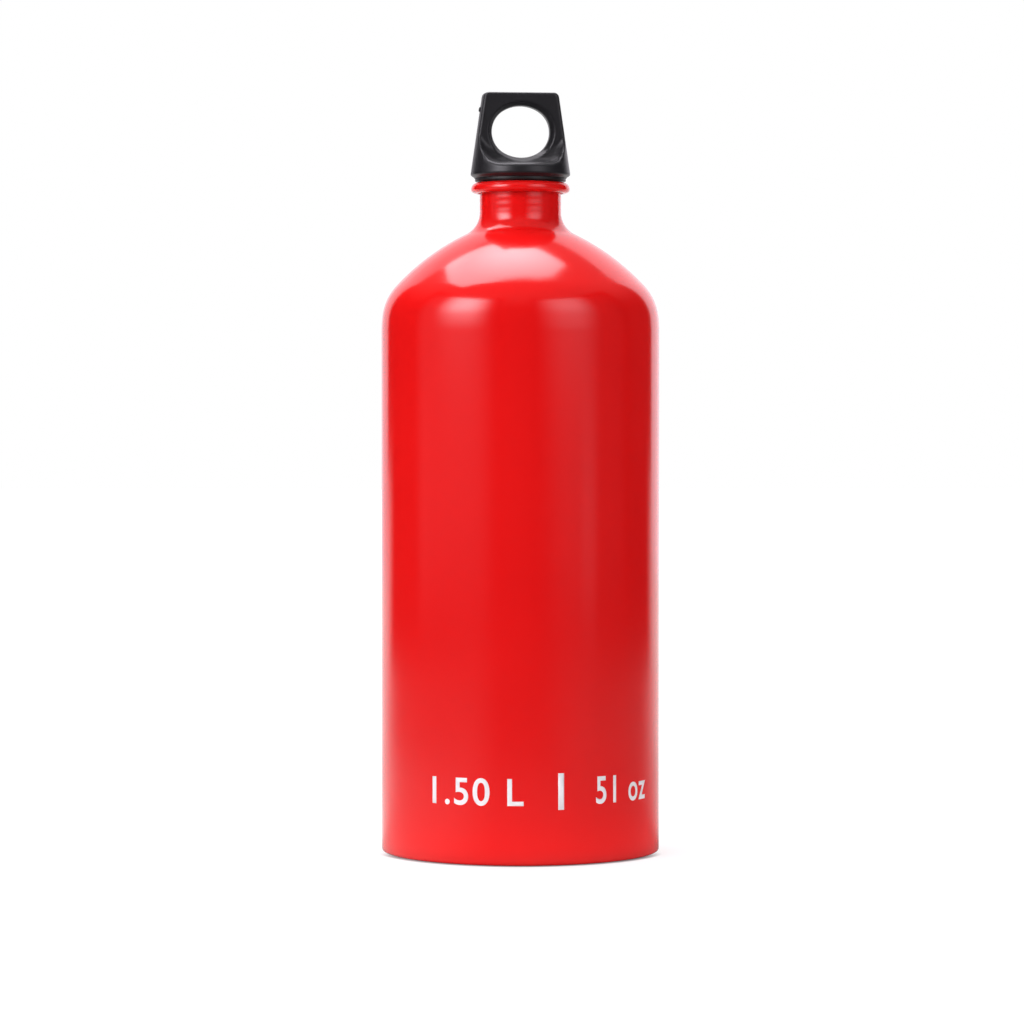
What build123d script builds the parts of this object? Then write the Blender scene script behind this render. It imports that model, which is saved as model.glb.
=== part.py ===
from build123d import *
from math import acos, atan2, cos, degrees, hypot, radians, tan
import os

# Camping fuel bottle with a moulded loop stopper, 1.5 litre size.
# Millimetres, +Z up. The origin is the centre of the base on the standing plane.
# The loop of the stopper is wide along X, and its finger hole runs along Y.

# Bottle: impact-extruded aluminium, necked in and rolled outwards at the mouth
BODY_R = 49.6
BODY_WALL = 0.97
BASE_WALL = 1.3
FOOT_BEVEL = 0.8
FLOOR_BEVEL = 2.4
FOOT_RING_W = 3.4
PUNT_RISE = 3.0
PUNT_SLOPE_W = 2.5
SHOULDER_Z = 188.0
SHOULDER_LOW_R = 20.0
SHOULDER_TOP_R = 82.4
SHOULDER_TURN = 42.7
NECK_FILLET_R = 8.9
NECK_R = 14.5
NECK_WALL = 1.3
MOUTH_Z = 238.3
LIP_R = 17.7
LIP_H = 4.1
LIP_TOP_BEVEL = 1.9
LIP_UNDER_BEVEL = 1.2

# Where short cones follow the curves inside the shoulder, as shares of each arc
CONE_SHARES = ((0, 0.5), (0, 0.5), (0, 0.33, 0.67, 1))

# Seal: flat rubber ring, trapped between the rolled lip and the stopper's flange
SEAL_R = 16.2
SEAL_T = 1.5
SEAL_BORE_CLEARANCE = 0.3

# Stopper: one moulding, with a hollow plug below the flange and a tapered loop above
PLUG_R = 12.0
PLUG_REACH = 15.0
PLUG_WALL = 2.5
FLANGE_R = 17.8
FLANGE_BEVEL = 1.0
CAP_H = 30.45
CAP_TOP_R = 13.6
WEB_T = 8.4
LEDGE_H = 4.75
LEDGE_ROOF_T = 2.9
POCKET_CORNER_R = 9.5
POCKET_SIDE_GAP = 2.1
RIM_BEVEL = 0.7
HOLE_SILL = 3.05
HOLE_BAR = 4.8
HOLE_CHEEK = 5.3
HOLE_BEVEL = 1.6
GATE_W = 1.5
GATE_PROUD = 0.45
GATE_DROP = 5.95

# Radius of the finger hole's tighter arcs, as a share of half its shorter way across
HOLE_ARC_SHARE = 0.94

# Length by which cutting tools run past what they cut
OVERRUN = 10.0
UPWARDS = (Align.CENTER, Align.CENTER, Align.MIN)

BORE_R = NECK_R - NECK_WALL
SEAT_Z = MOUTH_Z + SEAL_T
CAP_TOP_Z = SEAT_Z + CAP_H
LEDGE_Z = SEAT_Z + LEDGE_H
PLUG_TIP_Z = MOUTH_Z - PLUG_REACH
HOLE_H = CAP_H - LEDGE_H - HOLE_SILL - HOLE_BAR


def turned(edges):
    """Revolve a closed outline, drawn as radius against height, about the Z axis."""
    return revolve(Plane.XZ * make_face(edges), Axis.Z)


def shoulder_line(body_r, low_r, top_r, fillet_r, neck_r):
    """Three tangent arcs from the straight wall to the neck: two crowned, one hollow."""
    split = radians(SHOULDER_TURN)
    crown_r = body_r - low_r * (1 - cos(split)) - top_r * cos(split)
    steepest = acos((neck_r + fillet_r - crown_r) / (top_r + fillet_r))
    low = JernArc((body_r, SHOULDER_Z), (0, 1), low_r, SHOULDER_TURN)
    top = JernArc(low @ 1, low % 1, top_r, degrees(steepest) - SHOULDER_TURN)
    hollow = JernArc(top @ 1, top % 1, fillet_r, -degrees(steepest))
    return [low, top, hollow]


def inside_of_shoulder():
    """Points up the inside of the shoulder, one wall in from the same three arcs."""
    arcs = shoulder_line(
        BODY_R - BODY_WALL,
        SHOULDER_LOW_R - BODY_WALL,
        SHOULDER_TOP_R - BODY_WALL,
        NECK_FILLET_R + NECK_WALL,
        BORE_R,
    )
    return [arc @ share for arc, shares in zip(arcs, CONE_SHARES) for share in shares]


def foot_line(lift, wall_r, bevel):
    """Base from the wall inwards: bevel, foot ring, slope and raised middle, at a height."""
    ring_r = BODY_R - FOOT_BEVEL - FOOT_RING_W + lift * tan(atan2(PUNT_RISE, PUNT_SLOPE_W) / 2)
    middle_r = ring_r - PUNT_SLOPE_W
    top = lift + PUNT_RISE
    return [(wall_r, lift + bevel), (wall_r - bevel, lift), (ring_r, lift), (middle_r, top), (0, top)]


def lip_line():
    """Rolled lip from the neck round to the bore, bevelled where the metal is rolled."""
    low_z = MOUTH_Z - LIP_H
    return [
        (NECK_R, low_z),
        (LIP_R - LIP_UNDER_BEVEL, low_z),
        (LIP_R, low_z + LIP_UNDER_BEVEL),
        (LIP_R, MOUTH_Z - LIP_TOP_BEVEL),
        (LIP_R - LIP_TOP_BEVEL, MOUTH_Z),
        (BORE_R, MOUTH_Z),
    ]


def bottle_shell():
    """Seamless bottle: raised base, straight wall, round shoulder, neck and rolled lip."""
    shoulder = shoulder_line(BODY_R, SHOULDER_LOW_R, SHOULDER_TOP_R, NECK_FILLET_R, NECK_R)
    outside = foot_line(0, BODY_R, FOOT_BEVEL)
    inside = foot_line(BASE_WALL, BODY_R - BODY_WALL, FLOOR_BEVEL)
    base = Polyline(shoulder[0] @ 0, *outside, *reversed(inside), *inside_of_shoulder(), lip_line()[-1])
    lip = Polyline(shoulder[-1] @ 1, *lip_line())
    return turned([*shoulder, base, lip])


def seal_ring():
    """Flat ring lying on the rolled lip around the plug."""
    bore_r = PLUG_R + SEAL_BORE_CLEARANCE
    corners = [(bore_r, MOUTH_Z), (SEAL_R, MOUTH_Z), (SEAL_R, SEAT_Z), (bore_r, SEAT_Z)]
    return turned(Polyline(corners, close=True))


def cone_r(z):
    """Outer radius of the tapered loop at a height."""
    taper = (FLANGE_R - CAP_TOP_R) / (CAP_H - FLANGE_BEVEL)
    return FLANGE_R - taper * (z - SEAT_Z - FLANGE_BEVEL)


def loop_blank():
    """Flange and cone before the pockets are cut."""
    outline = Polyline(
        (0, SEAT_Z),
        (FLANGE_R - FLANGE_BEVEL, SEAT_Z),
        (FLANGE_R, SEAT_Z + FLANGE_BEVEL),
        (CAP_TOP_R, CAP_TOP_Z),
        (0, CAP_TOP_Z),
        close=True,
    )
    return turned(outline)


def pocket():
    """Tool that takes the front of the cone away down to the ledge, with rounded corners."""
    top_z = CAP_TOP_Z + OVERRUN
    low_w = cone_r(LEDGE_Z) + POCKET_SIDE_GAP
    top_w = cone_r(top_z) + POCKET_SIDE_GAP
    corners = [(-low_w, LEDGE_Z), (low_w, LEDGE_Z), (top_w, top_z), (-top_w, top_z)]
    outline = make_face(Polyline(corners, close=True))
    outline = fillet(outline.vertices().group_by(Axis.Y)[0], POCKET_CORNER_R)
    return Pos(0, -WEB_T / 2, 0) * extrude(Plane.XZ * outline, FLANGE_R + OVERRUN)


def oval(long, short):
    """Oval of four tangent arcs from its two half axes, the longer one along X."""
    end_r = short * HOLE_ARC_SHARE
    end_x = long - end_r
    lift = short - end_r
    drop = (end_x**2 - lift**2) / (2 * lift)
    reach = end_r / hypot(end_x, drop)
    x, y = end_x * (1 + reach), drop * reach
    return make_face(
        [
            ThreePointArc((x, y), (0, short), (-x, y)),
            ThreePointArc((-x, y), (-long, 0), (-x, -y)),
            ThreePointArc((-x, -y), (0, -short), (x, -y)),
            ThreePointArc((x, -y), (long, 0), (x, y)),
        ]
    )


def finger_hole():
    """Oval tool through the loop: a sill above the ledge, a bar and two cheeks stay."""
    half_h = HOLE_H / 2
    centre_z = LEDGE_Z + HOLE_SILL + half_h
    half_w = cone_r(centre_z) - HOLE_CHEEK
    outline = oval(max(half_w, half_h), min(half_w, half_h))
    turn = 0 if half_w > half_h else 90
    return Pos(0, 0, centre_z) * Rot(0, turn, 0) * extrude(Plane.XZ * outline, FLANGE_R, both=True)


def plug():
    """Plug that carries the screw thread, from the flange down into the neck."""
    return Pos(0, 0, PLUG_TIP_Z) * Cylinder(PLUG_R, SEAT_Z - PLUG_TIP_Z, align=UPWARDS)


def plug_hollow():
    """Tool that hollows the plug from its tip to the roof under the ledge."""
    depth = LEDGE_Z - LEDGE_ROOF_T - PLUG_TIP_Z
    return Pos(0, 0, PLUG_TIP_Z) * Cylinder(PLUG_R - PLUG_WALL, depth, align=UPWARDS)


def gate_mark():
    """Small tab that the mould leaves on one end of the loop."""
    z = CAP_TOP_Z - GATE_DROP
    reach = cone_r(z) + GATE_PROUD
    inwards = (Align.MIN, Align.CENTER, Align.CENTER)
    return Pos(-reach, 0, z) * Box(GATE_W + GATE_PROUD, GATE_W, GATE_W, align=inwards)


def screw_cap():
    """Stopper: loop with two pockets and an oval hole, on a flange with a hollow plug."""
    front = pocket()
    back = mirror(front, Plane.XZ)
    blank = loop_blank()
    loop = blank - front - back
    crown = loop.edges().group_by(Axis.Z)[-1]
    rim = [edge for edge in new_edges(blank, front, back, combined=loop) if edge not in crown]
    loop = chamfer([*crown, *rim], RIM_BEVEL)
    hole = finger_hole()
    pierced = loop - hole
    loop = chamfer(new_edges(loop, hole, combined=pierced), HOLE_BEVEL)
    return loop + plug() - plug_hollow() + gate_mark()


os.makedirs("parts", exist_ok=True)
pieces = {"bottle_shell": bottle_shell(), "seal_ring": seal_ring(), "screw_cap": screw_cap()}
for node, solid in pieces.items():
    export_step(solid, f"parts/{node}.step")
    print(node, "volume", round(solid.volume), "mm3")
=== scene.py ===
import math
import bmesh
import bpy
import numpy as np
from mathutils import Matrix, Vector

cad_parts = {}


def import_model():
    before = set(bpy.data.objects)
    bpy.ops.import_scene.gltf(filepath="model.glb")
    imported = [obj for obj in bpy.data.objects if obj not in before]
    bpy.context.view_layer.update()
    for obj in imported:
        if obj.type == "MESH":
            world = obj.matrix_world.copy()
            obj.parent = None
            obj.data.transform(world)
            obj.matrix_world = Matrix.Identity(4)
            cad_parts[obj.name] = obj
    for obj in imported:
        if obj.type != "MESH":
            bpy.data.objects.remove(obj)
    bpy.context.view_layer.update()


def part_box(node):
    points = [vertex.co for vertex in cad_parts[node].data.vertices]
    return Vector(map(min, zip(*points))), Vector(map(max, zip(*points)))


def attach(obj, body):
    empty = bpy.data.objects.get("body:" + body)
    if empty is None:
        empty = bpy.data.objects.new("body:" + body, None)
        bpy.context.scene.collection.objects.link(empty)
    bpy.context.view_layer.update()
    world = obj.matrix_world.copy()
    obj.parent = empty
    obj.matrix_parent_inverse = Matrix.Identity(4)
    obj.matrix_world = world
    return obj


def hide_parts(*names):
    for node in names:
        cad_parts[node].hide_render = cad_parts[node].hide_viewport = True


# A red enamelled fuel bottle with a black loop stopper, in a white studio.
# Pieces are built in millimetres from the frame's own boxes and turned into metres in mesh().
MM = 0.001

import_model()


def node_box(node):
    """Lowest and highest corner of a node in millimetres."""
    low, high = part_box(node)
    return low / MM, high / MM


bottle_low, bottle_high = node_box("bottle_shell")
seal_low, seal_high = node_box("seal_ring")
cap_low, cap_high = node_box("screw_cap")

# Bottle, in millimetres. Its wall lies inside the frame's box by the height of the printed ink.
MARK_PROUD = 0.03
BODY_R = min(bottle_high.x, bottle_high.y, -bottle_low.x, -bottle_low.y) - MARK_PROUD
MOUTH_Z = bottle_high.z
WALL = 0.97
BASE_WALL = 1.3
FOOT_R = 0.9
FLOOR_R = 3.0
RING_W = 3.4
PUNT_RISE = 3.0
PUNT_R = 2.7
PUNT_EDGE_R = 0.3
SHOULDER_Z = 184.53
SHOULDER_LEAD_R = 57.0
SHOULDER_LEAD_TURN = math.radians(6.0)
SHOULDER_LOW_R = 19.3
SHOULDER_TOP_R = 82.4
SHOULDER_TURN = math.radians(42.7)
NECK_FILLET_R = 8.9
NECK_R = 14.5
NECK_WALL = 1.3
BORE_R = NECK_R - NECK_WALL
BEAD_OUT_R = 17.6
BEAD_TOP_R = 15.3
BEAD_TIP_R = 16.2
BEAD_WIDEST_DROP = 2.4
BEAD_H = 3.85
CURL_GAP_R = 15.3
CURL_GAP_H = 1.0
CURL_GAP_RADII = (0.4, 0.25)
ENAMEL_IN_MOUTH = 1.0

# Thread in the neck and on the plug, and the ripple it leaves on the neck, in millimetres
THREAD_PITCH = 2.5
THREAD_DEPTH = 0.95
THREAD_ROOT_W = 1.3
THREAD_CREST_W = 0.5
THREAD_RUN_IN = 1.2
NECK_THREAD_LIFT = 2.0
PLUG_THREAD_LIFT = 0.8
PLUG_THREAD_DROP = 0.9
RIPPLE = 0.02
RIPPLE_LIFT = 0.9
RIPPLE_LOW_Z = 226.0
RIPPLE_HIGH_Z = 234.2
ROW_R_TOLERANCE = 0.01

# Sides of the turned pieces, and rows of each run of their outlines
SIDES = 216
WALL_ROWS = 8
NECK_ROWS = 40
BORE_ROWS = 110
SHOULDER_ROWS = (12, 24, 30, 24)
BASE_ROWS = (5, 8, 4, 10)
BEAD_ROWS = (6, 6, 12, 16, 6)
SEAL_ROWS = (5, 2, 4, 5, 5)

# Seal, in millimetres
SEAL_BORE_R = 12.3
SEAL_EDGE_R = 0.2
SEAL_LIP_R = 0.15
SEAL_SET_BACK = 1.0
SEAL_GAP_H = 0.5

# Stopper, in millimetres. The cone of the loop has the flange's full width at FULL_WIDTH_H above
# the seat, and the plug and the flange's collar reach SUNK_H up into the flange.
SEAT_Z = seal_high.z
CAP_TOP_Z = cap_high.z
PLUG_TIP_Z = cap_low.z
FLANGE_R = cap_high.x
FULL_WIDTH_H = 1.25
FLANGE_EDGE_R = 0.45
FLANGE_UNDER_SLOPE = 0.65
COLLAR_R = 16.5
COLLAR_H = 0.3
COLLAR_EDGE_R = 0.1
SUNK_H = 1.0
TOP_R = 13.6
WEB_T = 8.4
LEDGE_H = 4.75
LEDGE_Z = SEAT_Z + LEDGE_H
ROOF_T = 2.9
ROOF_Z = LEDGE_Z - ROOF_T
ROOF_EDGE_R = 0.8
PLUG_R = 12.0
PLUG_BORE_R = 9.5
PLUG_TIP_R = 0.9
PLUG_ROOT_R = 0.2
PLUG_BORE_EDGE_R = 0.5
POCKET_CORNER_R = 10.2
POCKET_GAP = 0.15
POCKET_ROOT_R = np.array([6.5, 1.2])
POCKET_ROOT_RUN = np.array([4.0, 11.0])
RIM_R = 0.8
CROWN_R = 1.5
LEDGE_R = 1.7
LEDGE_RIM_RUN = np.array([1.0, 3.0])
HOLE_HALF_H = 9.2
HOLE_HALF_W = 10.4
HOLE_SIDE_R = 8.7
HOLE_BEVEL = 1.5
HOLE_BEVEL_DEPTH = 2.3
HOLE_EDGE_R = 0.35
HOLE_SILL = 2.6
HOLE_Z = LEDGE_Z + HOLE_SILL + HOLE_HALF_H
GATE_R = 0.8
GATE_PROUD = 0.45
GATE_DROP = 5.95
GATE_Z = CAP_TOP_Z - GATE_DROP
GATE_INNER_X = 12.0
GATE_EDGE_R = 0.25
GATE_ROOT_R = 0.3

# Grid cell of the stopper's mesh in millimetres, and how its points settle on the surface
CAP_CELL = 0.32
SETTLE_ROUNDS = 3
SETTLE_PROBE = 0.02
SETTLE_MOST = 0.15
SLOPE_LEAST = 0.25

# Printed mark: plain contents figures in white ink, in millimetres and degrees
MARK_Z = 21.0
MARK_H = 9.3
MARK_THICK = 0.012
MARK_BEND_STEP = 0.8
MARK_LEFT_W = 34.0
MARK_LEFT_TURN = -38.0
MARK_RIGHT_W = 26.0
MARK_RIGHT_TURN = 32.0
MARK_BAR_W = 2.1
MARK_BAR_H = 12.7
MARK_BAR_TURN = 16.5
MARK_BAR_DROP = 1.7
MARK_BOLD = 0.014
MARK_SPACING = 1.12
CUT_TOLERANCE = 1e-5

# Colours that each material runs between
ENAMEL_COLOURS = ((0.735, 0.0055, 0.0055, 1), (0.765, 0.0068, 0.0064, 1))
METAL_COLOURS = ((0.72, 0.73, 0.74, 1), (0.84, 0.84, 0.85, 1))
INK_COLOURS = ((0.8, 0.78, 0.78, 1), (0.9, 0.89, 0.89, 1))
PLASTIC_COLOURS = ((0.008, 0.0077, 0.0088, 1), (0.0125, 0.012, 0.0137, 1))
RUBBER_COLOURS = ((0.007, 0.007, 0.007, 1), (0.012, 0.012, 0.012, 1))

# Sockets of the colour mix node: share, first colour, second colour and result
MIX_INPUTS = (0, 6, 7)
MIX_RESULT = 2

# Camera, in metres, degrees and pixels
VIEW_TURN = -6.5
CAMERA_D = 1.314
CAMERA_Z = 0.1573
CAMERA_PITCH = 1.587
FOCAL_PX = 3677.0
AXIS_PX = 520.4
FRAME_PX = 1024
SENSOR_MM = 36.0
CLIP_START = 0.05
CLIP_END = 30.0

# Sheets of light. Turns are in degrees to the right of the camera, the rest is in metres.
SCREEN_COLUMNS = 24
SCREEN_ROWS = 16
BOX_RADIUS = 1.8
LEFT_BOX_TURNS = (-98, -16)
LEFT_BOX_HEIGHTS = (-0.1, 2.0)
RIGHT_BOX_TURNS = (10, 100)
RIGHT_BOX_HEIGHTS = (-0.1, 2.05)
FILL_RADIUS = 1.85
FILL_TURNS = (45, 140)
FILL_HEIGHTS = (0.0, 1.9)
FILL_LEVEL = 1.07
WINDOW_Z = 1.74
WINDOW = ((-0.97, -0.09), (0.22, -0.03), (0.42, 0.09), (0.57, 0.52), (-0.95, 1.25))
WINDOW_LAMP = (-0.08, 0.45, 0)
BACKDROP_AWAY = 2.0
BACKDROP = ((-1.58, -0.01), (1.8, -0.01), (1.8, 2.7), (-1.58, 2.7))
GLOW_COLOUR = (1.0, 0.96, 1.03, 1)

# Light of the sheets. A fade has the places where it starts and ends, and then its two levels.
# Without levels it runs from 0 to 1.
LEFT_HEART_FADES = ((-79, -53), (-23, -46))
LEFT_HEART_RISE = (0.12, 1.12, 0.0, 8.7)
LEFT_SHEET_FADES = ((-98, -84), (-16, -36))
LEFT_SHEET_LEVEL = 0.3
LEFT_TOP_FADE = (2.0, 1.55)
RIGHT_HEART_FADES = ((10, 38), (72, 46))
RIGHT_HEART_LOW_RISE = (0.13, 0.36, 0.2, 1.1)
RIGHT_HEART_HIGH_RISE = (0.33, 1.13, 0.0, 1.4)
RIGHT_SHEET_FADES = ((20, 60), (100, 84))
RIGHT_SHEET_LEVEL = 0.1
RIGHT_STRIPE_FADES = ((48, 55), (68, 60))
RIGHT_STRIPE_RISE = (0.22, 0.1)
RIGHT_STRIPE_LEVEL = 0.3
RIGHT_TOP_FADE = (2.05, 1.55)
WINDOW_FADE = (0.7, 0.05, 5.4, 9.0)
BACKDROP_FADE = (-1.4, 1.4, 1.0, 1.35)

# Floor as gloss sees it: levels by the direction from the bottle, each for a range of distances
FLOOR_REACH = 6.0
NEAR_LEFT_FADE = (-0.2, -0.9, 0.26, 0.7)
NEAR_BACK_FADE = (0.2, 1.0, 0.0, 0.6)
MIDDLE_LEFT_FADE = (-0.2, -0.7, 0.06, 0.36)
MIDDLE_RIGHT_FADE = (0.2, 0.8, 0.0, 0.24)
MIDDLE_BACK_FADE = (0.35, 1.0, 0.0, 0.95)
FAR_BACK_FADE = (0.6, 0.8, 0.0, 1.1)
MIDDLE_STARTS = (0.28, 0.55)
FAR_STARTS = (0.8, 1.2)
# Painted shade: gloss sees the floor go dark under the foot, fading in just outside it.
PAINTED_FOOT_SHADE_STARTS = (0.0475, 0.051)

# Floor as light and the camera see it: distances from the bottle's axis, and levels
FLOOR_COLOUR = (0.56, 0.56, 0.56, 1)
FOOT_RING_FADES = ((0.051, 0.055), (0.085, 0.056))
FOOT_RING_LEVEL = 1.15
CATCH_COLOUR = (0.3, 0.3, 0.3, 1)
CATCH_GLOW_FADE = (0.05, 0.4, 0.74, 1.0)
# The next three values paint a shadow into the floor's glow just in front of the foot, as the camera sees
# it.
PAINTED_SHADOW_FRONT_FADE = (-0.15, -0.5)
PAINTED_SHADOW_FADE = (0.0535, 0.05)
PAINTED_SHADOW_LEVEL = 0.1

# World: fill for the scene, and what gloss sees of it by height
WORLD_FILL = 0.43
OVERHEAD_FADE = (0.35, 0.8, 0.0, 0.26)


def mesh(name, points, faces, smooth=True):
    """Object from points in millimetres."""
    data = bpy.data.meshes.new(name)
    data.from_pydata((np.asarray(points) * MM).tolist(), [], faces)
    data.validate()
    data.update()
    if smooth:
        data.shade_smooth()
    obj = bpy.data.objects.new(name, data)
    bpy.context.scene.collection.objects.link(obj)
    return obj


def oval_arc(centre, radii, start, end, steps):
    """Points on an ellipse whose two radii lie outwards and upwards, angles in radians from outwards."""
    turn = np.linspace(start, end, steps + 1)
    return np.column_stack([centre[0] + radii[0] * np.cos(turn), centre[1] + radii[1] * np.sin(turn)])


def arc(centre, radius, start, end, steps):
    """Points on a round arc."""
    return oval_arc(centre, (radius, radius), start, end, steps)


def line(start, end, steps):
    """Evenly spaced points from start to end."""
    share = np.linspace(0, 1, steps + 1)[:, None]
    return np.array(start) * (1 - share) + np.array(end) * share


def chain(*runs):
    """Runs of points joined end to end, without doubled points."""
    points = [np.asarray(runs[0])]
    for run in runs[1:]:
        gap = np.hypot(*(run[0] - points[-1][-1]))
        points.append(run[1:] if gap < MM else run)
    return np.vstack(points)


def stepped(point, distance, turn):
    """Point moved by a distance along a direction."""
    return point[0] + distance * math.cos(turn), point[1] + distance * math.sin(turn)


def shoulder(inset, fillet_r, neck_r):
    """Shoulder and neck fillet from the wall upwards, an inset in from the outside.
    Four tangent arcs: a slow bend into the curve, a tight one, the long crown and the hollow."""
    lead_rows, low_rows, top_rows, hollow_rows = SHOULDER_ROWS
    lead_r, low_r, top_r = SHOULDER_LEAD_R - inset, SHOULDER_LOW_R - inset, SHOULDER_TOP_R - inset
    lead_centre = (BODY_R - inset - lead_r, SHOULDER_Z)
    low_centre = stepped(lead_centre, lead_r - low_r, SHOULDER_LEAD_TURN)
    top_centre = stepped(low_centre, low_r - top_r, SHOULDER_TURN)
    steepest = math.acos((neck_r + fillet_r - top_centre[0]) / (top_r + fillet_r))
    hollow_centre = stepped(top_centre, top_r + fillet_r, steepest)
    return chain(
        arc(lead_centre, lead_r, 0, SHOULDER_LEAD_TURN, lead_rows),
        arc(low_centre, low_r, SHOULDER_LEAD_TURN, SHOULDER_TURN, low_rows),
        arc(top_centre, top_r, SHOULDER_TURN, steepest, top_rows),
        arc(hollow_centre, fillet_r, math.pi + steepest, math.pi, hollow_rows),
    )


def base(lift, wall_r, corner_r):
    """Base from its centre out to the wall: raised middle, step, foot ring and round corner."""
    middle_rows, bend_rows, edge_rows, corner_rows = BASE_ROWS
    ring_r = BODY_R - FOOT_R - RING_W
    top = lift + PUNT_RISE
    edge = (ring_r + PUNT_EDGE_R, lift + PUNT_EDGE_R)
    return chain(
        line((0, top), (ring_r - PUNT_R, top), middle_rows),
        arc((ring_r - PUNT_R, top - PUNT_R), PUNT_R, math.pi / 2, 0, bend_rows),
        arc(edge, PUNT_EDGE_R, math.pi, 1.5 * math.pi, edge_rows),
        arc((wall_r - corner_r, lift + corner_r), corner_r, -math.pi / 2, 0, corner_rows),
    )


def bead():
    """Rolled lip, from the gap behind its cut edge round the outside and over into the bore."""
    gap_rows, tip_rows, under_rows, over_rows, top_rows = BEAD_ROWS
    low_z = MOUTH_Z - BEAD_H
    wide_z = MOUTH_Z - BEAD_WIDEST_DROP
    tip = (BEAD_TIP_R - CURL_GAP_R) / 2
    tip_r = CURL_GAP_R + tip
    gap = (CURL_GAP_R - CURL_GAP_RADII[0], low_z + CURL_GAP_H)
    under = (BEAD_OUT_R - tip_r, wide_z - low_z)
    over = (BEAD_OUT_R - BEAD_TOP_R, BEAD_WIDEST_DROP)
    return chain(
        oval_arc(gap, CURL_GAP_RADII, math.pi, 0, gap_rows),
        arc((tip_r, low_z + tip), tip, math.pi, 1.5 * math.pi, tip_rows),
        oval_arc((tip_r, wide_z), under, -math.pi / 2, 0, under_rows),
        oval_arc((BEAD_TOP_R, wide_z), over, 0, math.pi / 2, over_rows),
        line((BEAD_TOP_R, MOUTH_Z), (BORE_R, MOUTH_Z), top_rows),
    )


def turned(name, profile, shape=None):
    """Closed surface of revolution. The profile runs from pole to pole, or is a ring.
    shape(radius, z, angle) may move points in and out."""
    is_ring = profile[0][0] > 0
    rows = profile if is_ring else profile[1:-1]
    angle = np.linspace(0, 2 * math.pi, SIDES, endpoint=False)
    radius = np.repeat(rows[:, :1], SIDES, axis=1)
    height = np.repeat(rows[:, 1:2], SIDES, axis=1)
    turn = np.repeat(angle[None, :], len(rows), axis=0)
    if shape:
        radius = shape(radius, height, turn)
    points = np.stack([radius * np.cos(turn), radius * np.sin(turn), height], axis=-1).reshape(-1, 3)
    here = np.arange(SIDES)
    after = np.roll(here, -1)
    faces = []
    pairs = [(row, row + 1) for row in range(len(rows) - 1)]
    if is_ring:
        pairs.append((len(rows) - 1, 0))
    for low, high in pairs:
        ring = (low * SIDES + here, low * SIDES + after, high * SIDES + after, high * SIDES + here)
        faces.extend(np.column_stack(ring).tolist())
    if not is_ring:
        first, last = len(points), len(points) + 1
        points = np.vstack([points, [[0, 0, profile[0][1]], [0, 0, profile[-1][1]]]])
        end = (len(rows) - 1) * SIDES
        sides = list(zip(here.tolist(), after.tolist()))
        faces.extend((first, b, a) for a, b in sides)
        faces.extend((last, end + a, end + b) for a, b in sides)
    return mesh(name, points, faces)


def ridge(z, angle, offset, low, high):
    """Height share of a right-hand thread ridge that fades in and out at its two ends."""
    phase = (z - offset - THREAD_PITCH * angle / (2 * math.pi)) / THREAD_PITCH
    away = np.abs(phase - np.round(phase)) * THREAD_PITCH
    share = (THREAD_ROOT_W / 2 - away) / ((THREAD_ROOT_W - THREAD_CREST_W) / 2)
    run_in = np.minimum(z - low, high - z) / THREAD_RUN_IN
    return np.clip(share, 0, 1) * np.clip(run_in, 0, 1)


def neck_shape(radius, z, angle):
    """Thread ridge inside the neck, and the faint ripple that it leaves outside."""
    inside = np.abs(radius - BORE_R) < ROW_R_TOLERANCE
    outside = np.abs(radius - NECK_R) < ROW_R_TOLERANCE
    thread = ridge(z, angle, 0, PLUG_TIP_Z + NECK_THREAD_LIFT, MOUTH_Z - THREAD_PITCH)
    shown = np.clip(np.minimum(z - RIPPLE_LOW_Z, RIPPLE_HIGH_Z - z), 0, 1)
    wave = np.cos(2 * math.pi * ((z - RIPPLE_LIFT) / THREAD_PITCH - angle / (2 * math.pi)))
    return radius - THREAD_DEPTH * thread * inside + RIPPLE * wave * shown * outside


def bottle():
    """Seamless bottle: closed wall with an outside, a rolled lip and an inside."""
    outside = shoulder(0, NECK_FILLET_R, NECK_R)
    inside = shoulder(WALL, NECK_FILLET_R + NECK_WALL, BORE_R)
    under = base(0, BODY_R, FOOT_R)
    above = base(BASE_WALL, BODY_R - WALL, FLOOR_R)
    lip = bead()
    profile = chain(
        under,
        line(under[-1], outside[0], WALL_ROWS),
        outside,
        line(outside[-1], lip[0], NECK_ROWS),
        lip,
        line(lip[-1], inside[-1], BORE_ROWS),
        inside[::-1],
        line(inside[0], above[-1], WALL_ROWS),
        above[::-1],
    )
    obj = turned("bottle", profile, neck_shape)
    obj.data.materials.append(red_enamel())
    obj.data.materials.append(bare_aluminium())
    bare_from_row = len(under) + WALL_ROWS + len(outside) + NECK_ROWS + len(lip)
    bare_below_z = (MOUTH_Z - ENAMEL_IN_MOUTH) * MM
    for face in obj.data.polygons:
        row = min(v // SIDES for v in face.vertices)
        face.material_index = int(row >= bare_from_row and face.center.z < bare_below_z)
    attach(obj, "bottle")
    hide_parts("bottle_shell")
    return obj


def mark_text(text, height, width):
    """Flat mesh of a line of figures, with its left end and baseline at the origin, in millimetres."""
    curve = bpy.data.curves.new("figures", "FONT")
    curve.body = text
    curve.offset = MARK_BOLD
    curve.space_character = MARK_SPACING
    letters = bpy.data.objects.new("figures", curve)
    bpy.context.scene.collection.objects.link(letters)
    bpy.context.view_layer.update()
    flat = bpy.data.meshes.new_from_object(letters)
    bpy.data.objects.remove(letters)
    figures = bmesh.new()
    figures.from_mesh(flat)
    bpy.data.meshes.remove(flat)
    along = [v.co.x for v in figures.verts]
    start = min(along)
    stretch = width / (max(along) - start)
    scale = height / max(v.co.y for v in figures.verts)
    for v in figures.verts:
        v.co = ((v.co.x - start) * stretch, v.co.y * scale, 0)
    return figures


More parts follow.
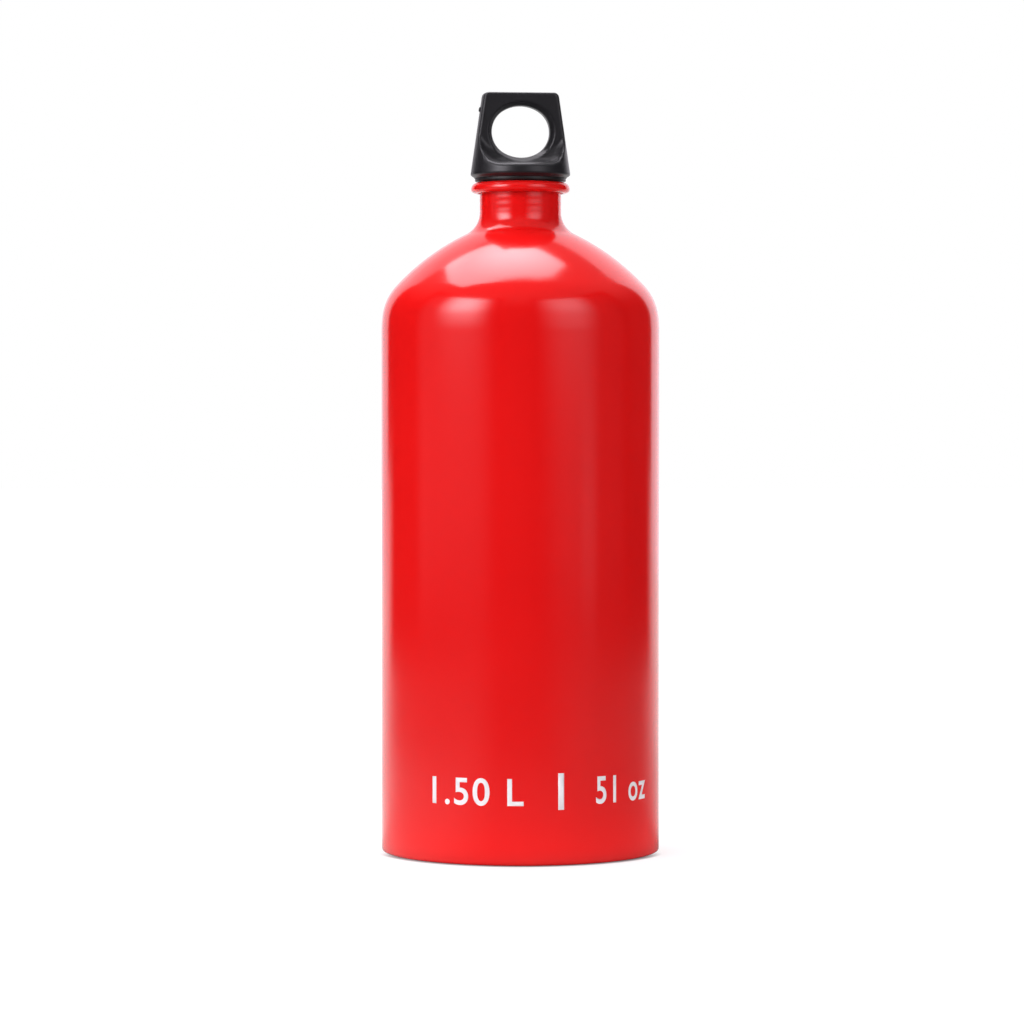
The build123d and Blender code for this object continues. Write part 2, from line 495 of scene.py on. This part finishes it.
def mark_bar(width, height):
    """Flat mesh of an upright bar, centred on its own base, in millimetres."""
    bar = bmesh.new()
    corners = ((-width / 2, 0), (width / 2, 0), (width / 2, height), (-width / 2, height))
    bar.faces.new([bar.verts.new((x, y, 0)) for x, y in corners])
    return bar


def printed(flat, turn, z):
    """Lays a flat mesh on the wall of the bottle, its origin at a turn and a height."""
    edge = max(v.co.x for v in flat.verts)
    cut = min(v.co.x for v in flat.verts)
    while cut < edge:
        cut += MARK_BEND_STEP
        whole = flat.verts[:] + flat.edges[:] + flat.faces[:]
        bmesh.ops.bisect_plane(
            flat, geom=whole, plane_co=(cut, 0, 0), plane_no=(1, 0, 0), dist=CUT_TOLERANCE
        )
    bmesh.ops.triangulate(flat, faces=flat.faces[:])
    ink_r = BODY_R + MARK_PROUD - MARK_THICK
    for v in flat.verts:
        v.co = around(turn + math.degrees(v.co.x / BODY_R), ink_r, z + v.co.y)
    return flat


def mark():
    """Printed contents figures low on the front of the bottle, as a thin layer of white ink."""
    pieces = (
        printed(mark_text("1.50 L", MARK_H, MARK_LEFT_W), MARK_LEFT_TURN, MARK_Z),
        printed(mark_bar(MARK_BAR_W, MARK_BAR_H), MARK_BAR_TURN, MARK_Z - MARK_BAR_DROP),
        printed(mark_text("51 oz", MARK_H, MARK_RIGHT_W), MARK_RIGHT_TURN, MARK_Z),
    )
    points, faces = [], []
    for piece in pieces:
        piece.verts.index_update()
        start = len(points)
        points.extend(v.co.copy() for v in piece.verts)
        faces.extend([start + v.index for v in face.verts] for face in piece.faces)
        piece.free()
    obj = mesh("contents_mark", points, faces)
    layer = obj.modifiers.new("ink", "SOLIDIFY")
    layer.thickness = MARK_THICK * MM
    layer.offset = 1.0
    obj.data.materials.append(white_ink())
    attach(obj, "bottle")
    return obj


def seal():
    """Rubber ring, set back at its foot, where a dark gap shows above the rolled lip."""
    inner, outer = SEAL_BORE_R, seal_high.x
    low, high = seal_low.z, seal_high.z
    foot_r, lip_z = outer - SEAL_SET_BACK, low + SEAL_GAP_H
    low_edge_rows, foot_rows, lip_rows, outer_edge_rows, inner_edge_rows = SEAL_ROWS
    inner_edge, outer_edge = inner + SEAL_EDGE_R, outer - SEAL_EDGE_R
    lip = (outer - SEAL_LIP_R, lip_z + SEAL_LIP_R)
    profile = chain(
        arc((inner_edge, low + SEAL_EDGE_R), SEAL_EDGE_R, math.pi, 1.5 * math.pi, low_edge_rows),
        line((foot_r, low), (foot_r, lip_z), foot_rows),
        arc(lip, SEAL_LIP_R, -math.pi / 2, 0, lip_rows),
        arc((outer_edge, high - SEAL_EDGE_R), SEAL_EDGE_R, 0, math.pi / 2, outer_edge_rows),
        arc((inner_edge, high - SEAL_EDGE_R), SEAL_EDGE_R, math.pi / 2, math.pi, inner_edge_rows),
    )
    obj = turned("seal", profile)
    obj.data.materials.append(seal_rubber())
    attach(obj, "seal")
    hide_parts("seal_ring")
    return obj


def both(a, b, round_r=0.0):
    """Distance to where two solids overlap, its outer edge rounded."""
    if np.isscalar(round_r) and not round_r:
        return np.maximum(a, b)
    outside = np.hypot(np.maximum(a + round_r, 0), np.maximum(b + round_r, 0)) - round_r
    return np.where((a > -round_r) & (b > -round_r), outside, np.maximum(a, b))


def either(a, b, round_r=0.0):
    """Distance to two solids joined, the inner corner between them rounded."""
    return -both(-a, -b, round_r)


def cone_r(z):
    """Outer radius of the tapered loop."""
    taper = (FLANGE_R - TOP_R) / (CAP_TOP_Z - SEAT_Z - FULL_WIDTH_H)
    return FLANGE_R - taper * (z - SEAT_Z - FULL_WIDTH_H)


def pocket_space(x, y, z):
    """Distance to the space in front of the loop and behind it, above the ledge."""
    width = np.abs(x) - cone_r(z) - POCKET_GAP
    outline = both(LEDGE_Z - z, width, POCKET_CORNER_R)
    root_r = np.interp(z, LEDGE_Z + POCKET_ROOT_RUN, POCKET_ROOT_R)
    return both(outline, WEB_T / 2 - np.abs(y), root_r)


def hole_space(x, z):
    """Distance to the oval finger hole, drawn as two side arcs and two flatter ones."""
    x, z = np.abs(x), np.abs(z - HOLE_Z)
    side_x = HOLE_HALF_W - HOLE_SIDE_R
    lift = HOLE_HALF_H - HOLE_SIDE_R
    drop = (side_x**2 - lift**2) / (2 * lift)
    flat = np.hypot(x, z + drop) - HOLE_HALF_H - drop
    side = np.hypot(x - side_x, z) - HOLE_SIDE_R
    return np.where((z + drop) * side_x > drop * x, flat, side)


def loop_solid(x, y, z):
    """Distance to the flange with its collar and the loop with its bevelled hole."""
    radius = np.hypot(x, y)
    under = SEAT_Z + COLLAR_H + (radius - COLLAR_R) * FLANGE_UNDER_SLOPE - z
    blank = both(radius - cone_r(z), under, FLANGE_EDGE_R)
    collar = both(radius - COLLAR_R, SEAT_Z - z, COLLAR_EDGE_R)
    blank = either(blank, both(collar, z - SEAT_Z - COLLAR_H - SUNK_H))
    blank = both(blank, z - CAP_TOP_Z, CROWN_R)
    rim_r = np.interp(z, LEDGE_Z + LEDGE_RIM_RUN, (LEDGE_R, RIM_R))
    loop = both(blank, -pocket_space(x, y, z), rim_r)
    hole = -hole_space(x, z)
    bevel_size = math.hypot(HOLE_BEVEL, HOLE_BEVEL_DEPTH)
    bevel = (loop * HOLE_BEVEL + hole * HOLE_BEVEL_DEPTH + HOLE_BEVEL * HOLE_BEVEL_DEPTH) / bevel_size
    return both(both(loop, bevel, HOLE_EDGE_R), hole, HOLE_EDGE_R)


def stopper_solid(x, y, z):
    """Signed distance to the stopper, below zero inside it, in millimetres."""
    radius = np.hypot(x, y)
    angle = np.arctan2(y, x)
    thread_low, thread_high = PLUG_TIP_Z + PLUG_THREAD_LIFT, seal_low.z - PLUG_THREAD_DROP
    thread = ridge(z, angle, THREAD_PITCH / 2, thread_low, thread_high)
    plug = both(radius - PLUG_R - THREAD_DEPTH * thread, z - SEAT_Z - SUNK_H)
    plug = both(plug, PLUG_TIP_Z - z, PLUG_TIP_R)
    solid = either(loop_solid(x, y, z), plug, PLUG_ROOT_R)
    hollow = both(radius - PLUG_BORE_R, z - ROOF_Z, ROOF_EDGE_R)
    solid = both(solid, -hollow, PLUG_BORE_EDGE_R)
    gate_ends = np.maximum(-x - cone_r(z) - GATE_PROUD, x + GATE_INNER_X)
    gate = both(np.hypot(y, z - GATE_Z) - GATE_R, gate_ends, GATE_EDGE_R)
    return either(solid, gate, GATE_ROOT_R)


def surface_of(solid, low, high, cell):
    """Quads of the surface of a solid given as a signed distance, one point per crossed cell."""
    axes = [np.arange(a, b + cell, cell) for a, b in zip(low, high)]
    grid = np.meshgrid(*axes, indexing="ij")
    value = solid(*grid)
    inside = value < 0
    nx, ny, nz = (n - 1 for n in value.shape)
    total = np.zeros((nx, ny, nz, 3))
    count = np.zeros((nx, ny, nz))
    corners = [(i, j, k) for i in (0, 1) for j in (0, 1) for k in (0, 1)]

    def part(array, corner):
        i, j, k = corner
        return array[i : i + nx, j : j + ny, k : k + nz]

    for a in corners:
        for axis in range(3):
            if a[axis]:
                continue
            b = tuple(1 if n == axis else c for n, c in enumerate(a))
            va, vb = part(value, a), part(value, b)
            crossed = part(inside, a) != part(inside, b)
            share = np.where(crossed, va / np.where(crossed, va - vb, 1), 0)
            for n in range(3):
                total[..., n] += np.where(crossed, a[n] + (share if n == axis else 0), 0)
            count += crossed
    used = count > 0
    index = -np.ones(used.shape, int)
    index[used] = np.arange(used.sum())
    cells = np.argwhere(used)
    points = (cells + total[used] / count[used][:, None]) * cell + np.array(low)
    faces = []
    for axis in range(3):
        u, v = (axis + 1) % 3, (axis + 2) % 3
        first = [slice(None)] * 3
        second = [slice(None)] * 3
        first[axis] = slice(0, -1)
        second[axis] = slice(1, None)
        change = inside[tuple(first)].astype(int) - inside[tuple(second)]
        edges = np.argwhere(change != 0)
        rising = change[tuple(edges.T)] > 0
        step_u = np.eye(3, dtype=int)[u]
        step_v = np.eye(3, dtype=int)[v]
        ring = [edges - step_u - step_v, edges - step_v, edges, edges - step_u]
        quad = np.column_stack([index[tuple(c.T)] for c in ring])
        quad[~rising] = quad[~rising][:, ::-1]
        faces.append(quad)
    points = settled(solid, points)
    return points, np.vstack(faces).tolist()


def settled(solid, points):
    """Points moved onto the surface along the solid's own slope."""
    probes = np.eye(3) * SETTLE_PROBE
    for _ in range(SETTLE_ROUNDS):
        value = solid(*points.T)
        rises = [solid(*(points + probe).T) - solid(*(points - probe).T) for probe in probes]
        slope = np.column_stack(rises) / (2 * SETTLE_PROBE)
        size = np.maximum((slope**2).sum(axis=1), SLOPE_LEAST)
        points = points - np.clip(value / size, -SETTLE_MOST, SETTLE_MOST)[:, None] * slope
    return points


def stopper():
    """One moulding: flange, loop with its oval hole, hollow plug and male thread."""
    pad = 2 * CAP_CELL
    low = (-FLANGE_R - pad, -FLANGE_R - pad, PLUG_TIP_Z - pad)
    high = (FLANGE_R + pad, FLANGE_R + pad, CAP_TOP_Z + pad)
    points, faces = surface_of(stopper_solid, low, high, CAP_CELL)
    obj = mesh("stopper", points, faces)
    obj.data.materials.append(cap_plastic())
    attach(obj, "cap")
    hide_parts("screw_cap")
    return obj


class Nodes:
    """Short hand for building one material, or the world when its node tree is given."""

    def __init__(self, name, tree=None):
        if tree is None:
            self.material = bpy.data.materials.new(name)
            self.material.use_nodes = True
        self.tree = tree or self.material.node_tree
        self.tree.nodes.clear()
        self.out = self.add("ShaderNodeOutputWorld" if tree else "ShaderNodeOutputMaterial")

    def add(self, kind, links=None, **values):
        """Node with its settings, and with a link or a value on each socket that is named."""
        node = self.tree.nodes.new(kind)
        for key, value in values.items():
            setattr(node, key, value)
        for socket, source in (links or {}).items():
            self.feed(node.inputs[socket], source)
        return node

    def feed(self, socket, source):
        """Links a socket to another socket, or sets its value."""
        if isinstance(source, bpy.types.NodeSocket):
            self.tree.links.new(source, socket)
        else:
            socket.default_value = source

    def surface(self, shader):
        """Ends the material in a shader."""
        self.tree.links.new(shader, self.out.inputs["Surface"])
        return self.material

    def finished(self, colour, rough, normal, **more):
        """Ends the material in one principled shader. More of its sockets go by name."""
        links = {"Base Color": colour, "Roughness": rough, "Normal": normal, **more}
        return self.surface(self.add("ShaderNodeBsdfPrincipled", links).outputs["BSDF"])

    def vector(self, operation, links, result="Value"):
        """Result of a vector operation."""
        return self.add("ShaderNodeVectorMath", links, operation=operation).outputs[result]

    def place(self):
        """Place on the object, in metres."""
        return self.add("ShaderNodeTexCoord").outputs["Object"]

    def noise(self, scale, detail, stretch=None):
        """Cloudy noise over the object, from 0 to 1."""
        place = self.place()
        if stretch:
            place = self.vector("MULTIPLY", {0: place, 1: stretch}, "Vector")
        links = {"Vector": place, "Scale": scale, "Detail": detail}
        return self.add("ShaderNodeTexNoise", links).outputs["Fac"]

    def ramp(self, value, low, high, from_low=0.0, from_high=1.0, smooth=False):
        """Number that runs from low to high as the value crosses a range."""
        kind = "SMOOTHSTEP" if smooth else "LINEAR"
        links = {"Value": value, "From Min": from_low, "From Max": from_high, "To Min": low, "To Max": high}
        return self.add("ShaderNodeMapRange", links, interpolation_type=kind).outputs["Result"]

    def math(self, operation, a, b):
        """Result of an operation on two numbers."""
        return self.add("ShaderNodeMath", {0: a, 1: b}, operation=operation).outputs[0]

    def times(self, *values):
        """Product of numbers."""
        result = values[0]
        for value in values[1:]:
            result = self.math("MULTIPLY", result, value)
        return result

    def total(self, *values):
        """Total of numbers."""
        result = values[0]
        for value in values[1:]:
            result = self.math("ADD", result, value)
        return result

    def mix(self, share, a, b):
        """Colour between two."""
        node = self.add("ShaderNodeMix", data_type="RGBA")
        for number, source in zip(MIX_INPUTS, (share, a, b)):
            self.feed(node.inputs[number], source)
        return node.outputs[MIX_RESULT]

    def bump(self, height, strength, distance):
        """Normal of a fine relief, its depth in metres."""
        links = {"Height": height, "Strength": strength, "Distance": distance}
        return self.add("ShaderNodeBump", links).outputs["Normal"]


def red_enamel():
    """Gloss red enamel: even colour and faint orange peel."""
    n = Nodes("red_enamel")
    drift = n.ramp(n.noise(scale=14.0, detail=3.0), low=0.0, high=1.0, from_low=0.35, from_high=0.65)
    peel = n.bump(n.noise(scale=420.0, detail=2.0), strength=0.12, distance=0.00002)
    return n.finished(n.mix(drift, *ENAMEL_COLOURS), rough=0.14, normal=peel, IOR=1.5)


def bare_aluminium():
    """Drawn aluminium inside the bottle, with fine streaks along the axis."""
    n = Nodes("bare_aluminium")
    streaks = n.noise(scale=90.0, detail=4.0, stretch=(30, 30, 0.4))
    rough = n.ramp(streaks, low=0.28, high=0.42)
    relief = n.bump(streaks, strength=0.15, distance=0.00003)
    return n.finished(n.mix(streaks, *METAL_COLOURS), rough=rough, normal=relief, Metallic=1.0)


def white_ink():
    """Screen-printed white ink, a little thinner in places."""
    n = Nodes("white_ink")
    drift = n.noise(scale=500.0, detail=3.0)
    relief = n.bump(drift, strength=0.1, distance=0.00002)
    return n.finished(n.mix(drift, *INK_COLOURS), rough=0.35, normal=relief, IOR=1.5)


def cap_plastic():
    """Black moulded plastic with a fine spark-eroded grain."""
    n = Nodes("cap_plastic")
    cloud = n.noise(scale=60.0, detail=3.0)
    rough = n.ramp(cloud, low=0.35, high=0.42, from_low=0.3, from_high=0.7)
    grain = n.bump(n.noise(scale=1900.0, detail=3.0), strength=0.35, distance=0.00004)
    return n.finished(n.mix(cloud, *PLASTIC_COLOURS), rough=rough, normal=grain, IOR=1.45)


def seal_rubber():
    """Matt black rubber."""
    n = Nodes("seal_rubber")
    grain = n.noise(scale=1400.0, detail=3.0)
    relief = n.bump(grain, strength=0.25, distance=0.00003)
    return n.finished(n.mix(grain, *RUBBER_COLOURS), rough=0.42, normal=relief)


def around(turn, radius, z):
    """Point at a turn in degrees to the right of the camera, seen from the bottle."""
    angle = math.radians(VIEW_TURN + turn)
    return Vector((radius * math.sin(angle), -radius * math.cos(angle), z))


def studio_point(right, back, z):
    """Point from distances to the right of the bottle and behind it, as the camera sees them."""
    return around(90, right, z) + around(180, back, 0)


def screen(name, turns, heights, radius, light):
    """Glowing sheet bent round the bottle. light(nodes, turn, z) gives its strength."""
    points, places = [], []
    for z in np.linspace(*heights, SCREEN_ROWS + 1):
        for turn in np.linspace(*turns, SCREEN_COLUMNS + 1):
            points.append(around(turn, radius, z) / MM)
            places.append((turn, z))
    width = SCREEN_COLUMNS + 1
    faces = [
        (r * width + c, r * width + c + 1, (r + 1) * width + c + 1, (r + 1) * width + c)
        for r in range(SCREEN_ROWS)
        for c in range(SCREEN_COLUMNS)
    ]
    return glowing(mesh(name, points, faces), places, light)


def flat_mesh(name, corners):
    """One flat face with its corners in metres."""
    return mesh(name, [corner / MM for corner in corners], [tuple(range(len(corners)))], smooth=False)


def glowing(obj, places, light):
    """Gives a sheet its glow, and hides the sheet itself from the camera and from shadows.
    light(nodes, a, b) gives the strength from the two coordinates that places has at each corner."""
    layer = obj.data.uv_layers.new(name="place")
    for loop in obj.data.loops:
        layer.data[loop.index].uv = places[loop.vertex_index]
    n = Nodes(obj.name)
    place = n.add("ShaderNodeUVMap", uv_map="place").outputs["UV"]
    split = n.add("ShaderNodeSeparateXYZ", {0: place})
    strength = light(n, split.outputs["X"], split.outputs["Y"])
    glow = n.add("ShaderNodeEmission", {"Color": GLOW_COLOUR, "Strength": strength})
    obj.data.materials.append(n.surface(glow.outputs[0]))
    obj.visible_camera = False
    obj.visible_shadow = False
    return obj


def fade(n, value, start, end, low=0.0, high=1.0):
    """Smooth change from low at one place to high at another."""
    if start < end:
        return n.ramp(value, low, high, start, end, True)
    return n.ramp(value, high, low, end, start, True)


def band(n, value, fades):
    """Two fades, one in and one out."""
    return n.times(*(fade(n, value, *places) for places in fades))


def left_light(n, turn, z):
    """Large softbox on the left: a bright heart high up, in a dim broad sheet."""
    heart = n.times(band(n, turn, LEFT_HEART_FADES), fade(n, z, *LEFT_HEART_RISE))
    sheet = n.times(band(n, turn, LEFT_SHEET_FADES), LEFT_SHEET_LEVEL)
    return n.times(n.total(heart, sheet), fade(n, z, *LEFT_TOP_FADE))


def right_light(n, turn, z):
    """Dimmer softbox on the right, with a narrow brighter stripe near the floor."""
    rise = n.total(fade(n, z, *RIGHT_HEART_LOW_RISE), fade(n, z, *RIGHT_HEART_HIGH_RISE))
    heart = n.times(band(n, turn, RIGHT_HEART_FADES), rise)
    sheet = n.times(band(n, turn, RIGHT_SHEET_FADES), RIGHT_SHEET_LEVEL)
    stripe = n.times(band(n, turn, RIGHT_STRIPE_FADES), fade(n, z, *RIGHT_STRIPE_RISE), RIGHT_STRIPE_LEVEL)
    return n.times(n.total(heart, sheet, stripe), fade(n, z, *RIGHT_TOP_FADE))


def fill_light(n, turn, z):
    """Even light from the right."""
    return FILL_LEVEL


def window_light(n, right, back):
    """Overhead softbox with its lamp behind the bottle."""
    aside = n.add("ShaderNodeCombineXYZ", {0: right, 1: back}).outputs[0]
    return fade(n, n.vector("DISTANCE", {0: aside, 1: WINDOW_LAMP}), *WINDOW_FADE)


def backdrop_light(n, right, z):
    """White backdrop, brighter towards the right."""
    return fade(n, right, *BACKDROP_FADE)


def studio():
    """Floor, white backdrop, overhead softbox, a softbox on each side, a fill and the world.
    Gloss doesn't see the fill."""
    screen("left_softbox", LEFT_BOX_TURNS, LEFT_BOX_HEIGHTS, BOX_RADIUS, left_light)
    screen("right_softbox", RIGHT_BOX_TURNS, RIGHT_BOX_HEIGHTS, BOX_RADIUS, right_light)
    window = flat_mesh("overhead_softbox", [studio_point(x, y, WINDOW_Z) for x, y in WINDOW])
    glowing(window, WINDOW, window_light)
    fill = screen("right_fill", FILL_TURNS, FILL_HEIGHTS, FILL_RADIUS, fill_light)
    fill.visible_glossy = False
    backdrop = flat_mesh("backdrop", [studio_point(x, BACKDROP_AWAY, z) for x, z in BACKDROP])
    glowing(backdrop, BACKDROP, backdrop_light)
    floor()
    world()


def floor_tone(n, distance, right, back):
    """What gloss sees of the floor: bright behind and to the left, dim towards the camera, with painted
    shade that takes it to dark under the foot.
    right and back are shares of the distance from the bottle's axis."""
    near = n.total(fade(n, right, *NEAR_LEFT_FADE), fade(n, back, *NEAR_BACK_FADE))
    aside = n.total(fade(n, right, *MIDDLE_LEFT_FADE), fade(n, right, *MIDDLE_RIGHT_FADE))
    middle = n.total(aside, fade(n, back, *MIDDLE_BACK_FADE))
    far = fade(n, back, *FAR_BACK_FADE)
    tone = n.ramp(fade(n, distance, *MIDDLE_STARTS), near, middle)
    tone = n.ramp(fade(n, distance, *FAR_STARTS), tone, far)
    # Painted shade under the foot.
    return n.times(tone, fade(n, distance, *PAINTED_FOOT_SHADE_STARTS))


def floor():
    """Plain pale floor. The camera sees it white, with the shadow it catches and a painted shadow just in
    front of the foot;
    gloss sees its tone, and all other light sees a pale surface with a soft glow round the foot."""
    ends = ((-1, -1), (1, -1), (1, 1), (-1, 1))
    obj = flat_mesh("floor", [studio_point(x * FLOOR_REACH, y * FLOOR_REACH, 0) for x, y in ends])
    n = Nodes("floor")
    place = n.place()
    distance = n.vector("LENGTH", {0: place})
    right = n.math("DIVIDE", n.vector("DOT_PRODUCT", {0: place, 1: around(90, 1, 0)}), distance)
    back = n.math("DIVIDE", n.vector("DOT_PRODUCT", {0: place, 1: around(180, 1, 0)}), distance)
    path = n.add("ShaderNodeLightPath").outputs
    pale = n.add("ShaderNodeBsdfDiffuse", {"Color": FLOOR_COLOUR}).outputs[0]
    ring = n.times(band(n, distance, FOOT_RING_FADES), FOOT_RING_LEVEL)
    foot_glow = n.add("ShaderNodeEmission", {"Strength": ring}).outputs[0]
    lit = n.add("ShaderNodeAddShader", {0: pale, 1: foot_glow}).outputs[0]
    tone = floor_tone(n, distance, right, back)
    mirrored = n.add("ShaderNodeEmission", {"Strength": tone}).outputs[0]
    catch = n.add("ShaderNodeBsdfDiffuse", {"Color": CATCH_COLOUR}).outputs[0]
    # Painted shadow: the glow that the camera sees is dimmed just in front of the foot.
    painted_shadow = n.times(fade(n, back, *PAINTED_SHADOW_FRONT_FADE), fade(n, distance, *PAINTED_SHADOW_FADE))
    level = n.times(fade(n, distance, *CATCH_GLOW_FADE), n.ramp(painted_shadow, 1.0, PAINTED_SHADOW_LEVEL))
    glow = n.add("ShaderNodeEmission", {"Strength": level}).outputs[0]
    seen = n.add("ShaderNodeAddShader", {0: catch, 1: glow}).outputs[0]
    unseen = n.add("ShaderNodeMixShader", {0: path["Is Glossy Ray"], 1: lit, 2: mirrored}).outputs[0]
    whole = n.add("ShaderNodeMixShader", {0: path["Is Camera Ray"], 1: unseen, 2: seen}).outputs[0]
    material = n.surface(whole)
    material.cycles.emission_sampling = "NONE"
    obj.data.materials.append(material)
    return obj


def world():
    """White to the camera, and a low fill for everything else. Gloss sees it mostly overhead."""
    sky = bpy.data.worlds.new("studio")
    bpy.context.scene.world = sky
    sky.use_nodes = True
    n = Nodes("sky", sky.node_tree)
    path = n.add("ShaderNodeLightPath").outputs
    direction = n.add("ShaderNodeTexCoord").outputs["Generated"]
    up = n.add("ShaderNodeSeparateXYZ", {0: direction}).outputs["Z"]
    unseen = n.ramp(path["Is Glossy Ray"], WORLD_FILL, fade(n, up, *OVERHEAD_FADE))
    strength = n.ramp(path["Is Camera Ray"], unseen, 1.0)
    background = n.add("ShaderNodeBackground", {"Color": (1, 1, 1, 1), "Strength": strength})
    n.tree.links.new(background.outputs[0], n.out.inputs["Surface"])


def camera():
    """Camera at the photograph's distance, height and tilt."""
    data = bpy.data.cameras.new("camera")
    data.sensor_width = SENSOR_MM
    data.lens = FOCAL_PX / FRAME_PX * SENSOR_MM
    data.clip_start = CLIP_START
    data.clip_end = CLIP_END
    obj = bpy.data.objects.new("camera", data)
    bpy.context.scene.collection.objects.link(obj)
    obj.location = around(0, CAMERA_D, CAMERA_Z)
    drop = CAMERA_D * math.tan(math.radians(CAMERA_PITCH))
    aside = CAMERA_D * (AXIS_PX - FRAME_PX / 2) / FOCAL_PX
    aim = studio_point(-aside, 0, CAMERA_Z - drop)
    obj.rotation_euler = (aim - obj.location).to_track_quat("-Z", "Y").to_euler()
    bpy.context.scene.camera = obj


bottle()
mark()
seal()
stopper()
studio()
camera()
bpy.context.scene.view_settings.view_transform = "Standard"
